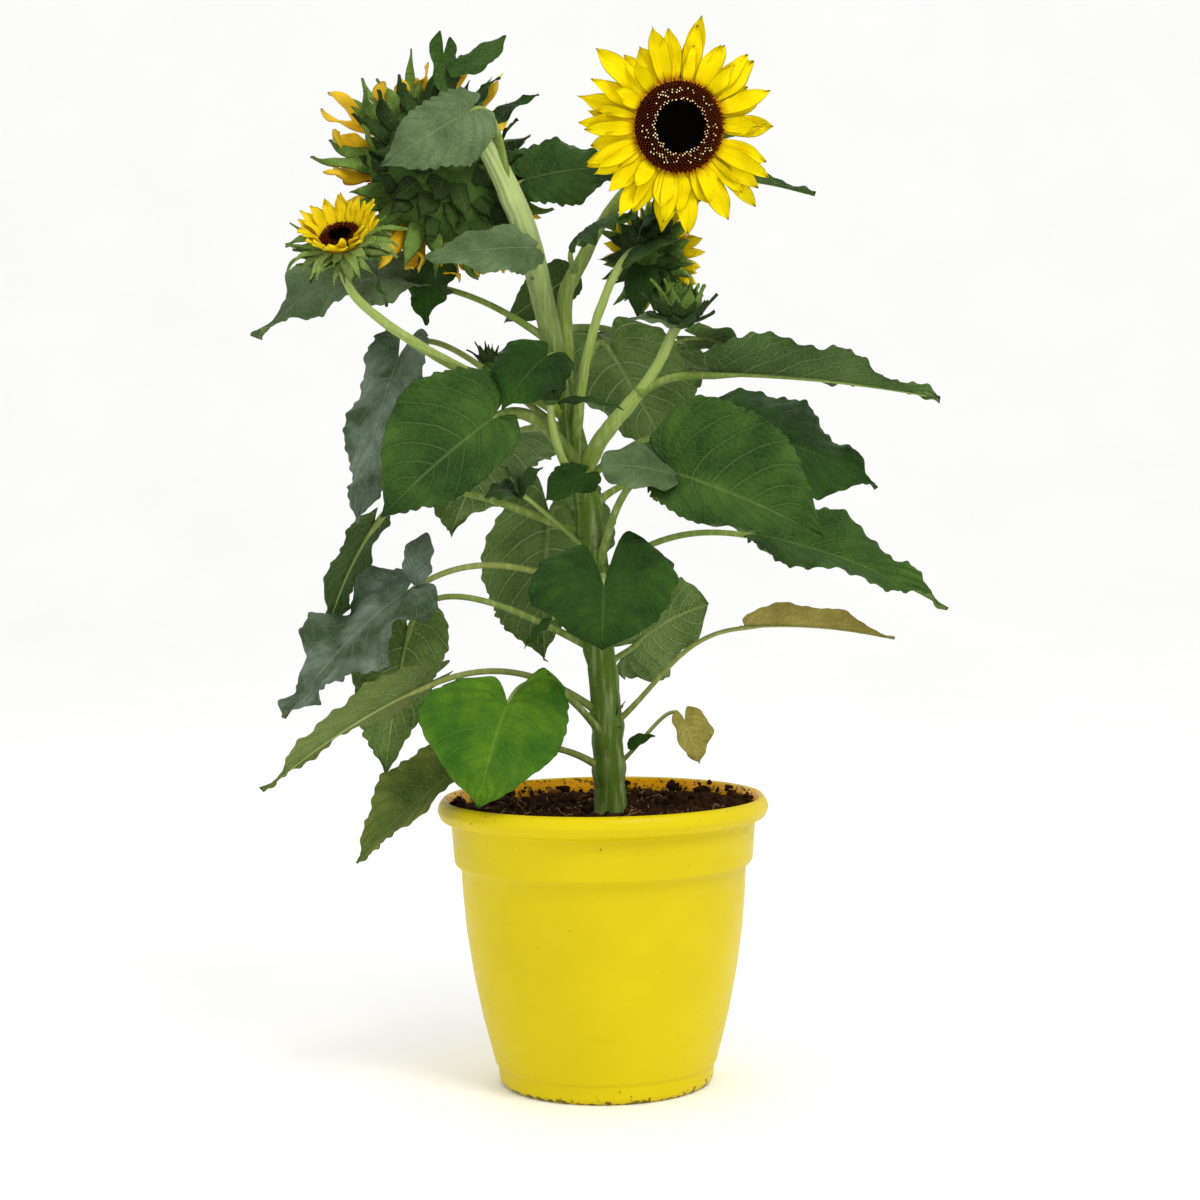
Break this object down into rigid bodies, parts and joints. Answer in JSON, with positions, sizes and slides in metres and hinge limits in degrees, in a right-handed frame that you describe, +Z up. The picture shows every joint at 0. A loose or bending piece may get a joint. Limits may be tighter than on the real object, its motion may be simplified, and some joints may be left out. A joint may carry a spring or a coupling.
{
  "type": "sunflower plant in a pot",
  "caption": "Branching sunflower with heart-shaped leaves, open and spent flower heads and buds, growing in a round plastic pot of compost.",
  "frame": {"origin": "centre of the pot's flat underside", "axes": "+Z up along the pot's axis, +X to the plant's right as seen from the front, +Y to the back"},
  "size_m": [0.532, 0.32, 0.8189],
  "materials": {
    "pot": "warm yellow moulded plastic, satin",
    "soil": "dark moist peat compost, rough",
    "stem": "green hairy stem, matte, paler towards the top",
    "leaf": "rough dark green leaf with pale veins",
    "leaf_pale": "olive green leaf, ageing",
    "leaf_blue": "wilted blue-green leaf",
    "leaf_dry": "withered yellow-brown leaf",
    "bract": "hairy green bracts, matte",
    "petal": "lemon yellow petals, orange at the base",
    "petal_dry": "withered orange petals",
    "disc": "dark brown disc of small florets"
  },
  "bodies": {
    "root": {"pot": "pot", "soil": "soil", "main_stem": "stem", "branch_front_flower": "stem", "branch_back_flower": "stem", "branch_right_bud": "stem", "branch_left_flower": "stem", "leaf_left_lowest": "leaf_pale", "leaf_front_heart": "leaf", "leaf_left_low": "leaf_pale", "leaf_left_mid": "leaf", "leaf_right_withered": "leaf_dry", "leaf_right_shrivelled": "leaf_dry", "leaf_right_low_back": "leaf", "leaf_front_low_heart": "leaf", "leaf_left_blue": "leaf_blue", "leaf_left_upper": "leaf", "leaf_back_left": "leaf", "leaf_right_long_low": "leaf", "leaf_right_heart": "leaf", "leaf_right_behind": "leaf", "leaf_centre_small": "leaf", "leaf_left_centre": "leaf", "leaf_left_hanging": "leaf_blue", "leaf_stem_spur": "leaf", "leaf_left_top": "leaf", "leaf_dark_front": "leaf", "leaf_over_head": "leaf", "leaf_neck_front": "leaf", "leaf_neck_right": "leaf", "leaf_neck_back": "leaf", "leaf_fork_front": "leaf", "leaf_behind_flower": "leaf", "leaf_back_right": "leaf", "leaf_under_bud": "leaf", "leaf_right_top": "leaf", "leaf_back_far_left": "leaf", "leaf_back_far_right": "leaf", "leaf_back_high": "leaf", "leaf_back_flower": "leaf", "leaf_back_low": "leaf", "shoot_left_small": "leaf", "flower_front_calyx": "bract", "flower_front_rays": "petal", "flower_front_disc": "disc", "flower_left_calyx": "bract", "flower_left_rays": "petal", "flower_left_disc": "disc", "flower_terminal_calyx": "bract", "flower_terminal_rays": "petal_dry", "flower_terminal_disc": "disc", "flower_back_calyx": "bract", "flower_back_rays": "petal", "flower_back_disc": "disc", "bud_right": "bract", "bud_left_small": "bract", "bud_centre_small": "bract"}
  },
  "joints": []
}
